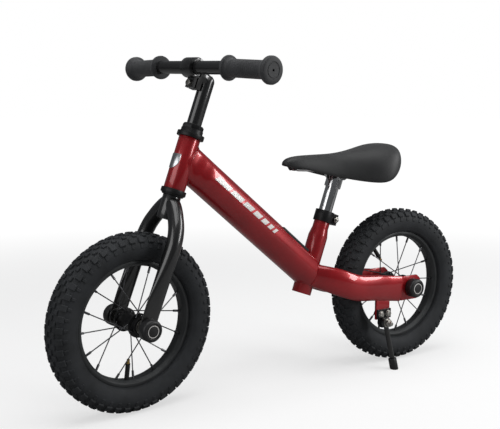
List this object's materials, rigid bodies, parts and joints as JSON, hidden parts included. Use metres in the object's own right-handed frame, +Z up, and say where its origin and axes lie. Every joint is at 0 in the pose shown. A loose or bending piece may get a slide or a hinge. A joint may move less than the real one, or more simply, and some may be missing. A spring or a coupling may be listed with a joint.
{
  "type": "balance bike",
  "caption": "Child's pedal-free balance bike with air tyres, a sloping tube frame, an adjustable saddle and stem, and a side stand.",
  "frame": {"origin": "on the ground, on the centre plane, midway between the axles", "axes": "+X forward, +Y to the rider's left, +Z up"},
  "size_m": [0.8901, 0.3988, 0.599],
  "materials": {
    "frame_paint": "gloss",
    "black_paint": "gloss",
    "black_steel": "satin",
    "zinc_steel": "satin",
    "bright_steel": "polished",
    "tyre_rubber": "matte",
    "tube_rubber": "matte",
    "grip_rubber": "matte",
    "pad_rubber": "matte",
    "saddle_vinyl": "satin",
    "black_plastic": "matte",
    "badge_metal": "satin"
  },
  "bodies": {
    "frame": {"head_tube": "frame_paint", "head_badge": "badge_metal", "main_tube": "frame_paint", "footrest_pad": "pad_rubber", "seat_tube": "frame_paint", "left_stay": "frame_paint", "right_stay": "frame_paint", "dropouts": "frame_paint", "seat_clamp": "black_steel", "seat_clamp_bolt": "zinc_steel", "upper_cup": "black_steel", "lower_cup": "black_steel", "headset_balls": "bright_steel", "kickstand_tab": "frame_paint", "kickstand_bracket": "black_steel", "kickstand_bolts": "zinc_steel", "kickstand_pivot": "zinc_steel", "kickstand_washer": "zinc_steel", "rear_axle": "zinc_steel", "rear_cones": "zinc_steel", "rear_axle_nuts": "zinc_steel", "rear_nut_caps": "black_plastic"},
    "fork": {"crown_race": "black_steel", "top_race": "black_steel", "locknut": "black_steel", "steerer": "black_paint", "left_fork_leg": "black_paint", "right_fork_leg": "black_paint", "front_axle": "zinc_steel", "front_cones": "zinc_steel", "front_axle_nuts": "zinc_steel", "front_nut_caps": "black_plastic"},
    "stem": {"stem": "black_paint", "stem_wedge": "zinc_steel", "stem_bolt": "zinc_steel", "bar_clamp_bolt": "zinc_steel"},
    "handlebar": {"handlebar": "black_paint", "left_grip": "grip_rubber", "right_grip": "grip_rubber"},
    "front_wheel": {"front_tyre": "tyre_rubber", "front_inner_tube": "tube_rubber", "front_rim": "black_steel", "front_spokes": "zinc_steel", "front_hub": "black_steel", "front_hub_balls": "bright_steel"},
    "rear_wheel": {"rear_tyre": "tyre_rubber", "rear_inner_tube": "tube_rubber", "rear_rim": "black_steel", "rear_spokes": "zinc_steel", "rear_hub": "black_steel", "rear_hub_balls": "bright_steel"},
    "seat_post": {"seat_post": "bright_steel", "saddle_clamp": "bright_steel", "saddle_clamp_bolt": "zinc_steel"},
    "saddle": {"rail_washers": "bright_steel", "saddle_rails": "bright_steel", "saddle_base": "black_plastic", "saddle_cover": "saddle_vinyl"},
    "side_stand": {"kickstand_leg": "black_steel", "kickstand_foot": "black_plastic"}
  },
  "joints": [
    {"name": "steering", "type": "hinge", "parent": "frame", "child": "fork", "pos_m": [0.1946, 0, 0.41271], "axis": [-0.342, 0, 0.9397], "continuous": true},
    {"name": "stem_height", "type": "slide", "parent": "fork", "child": "stem", "axis": [-0.342, 0, 0.9397], "range_m": [-0.045, 0.03]},
    {"name": "bar_roll", "type": "hinge", "parent": "stem", "child": "handlebar", "pos_m": [0.17437, 0.00376, 0.57297], "axis": [-0.0982, 0.9945, -0.0358], "range_deg": [-45, 45]},
    {"name": "front_wheel_spin", "type": "hinge", "parent": "fork", "child": "front_wheel", "pos_m": [0.29248, 0.00031, 0.15249], "axis": [-0.0982, 0.9945, -0.0358], "continuous": true},
    {"name": "rear_wheel_spin", "type": "hinge", "parent": "frame", "child": "rear_wheel", "pos_m": [-0.2925, 0, 0.1525], "axis": [0, 1, 0], "continuous": true},
    {"name": "seat_height", "type": "slide", "parent": "frame", "child": "seat_post", "axis": [-0.342, 0, 0.9397], "range_m": [-0.045, 0.05]},
    {"name": "saddle_tilt", "type": "hinge", "parent": "seat_post", "child": "saddle", "pos_m": [-0.13806, 0, 0.38271], "axis": [0, 1, 0], "range_deg": [-15, 15]},
    {"name": "stand_fold", "type": "hinge", "parent": "frame", "child": "side_stand", "pos_m": [-0.2175, 0.057, 0.0935], "axis": [0, 1, 0], "range_deg": [0, 95]}
  ]
}
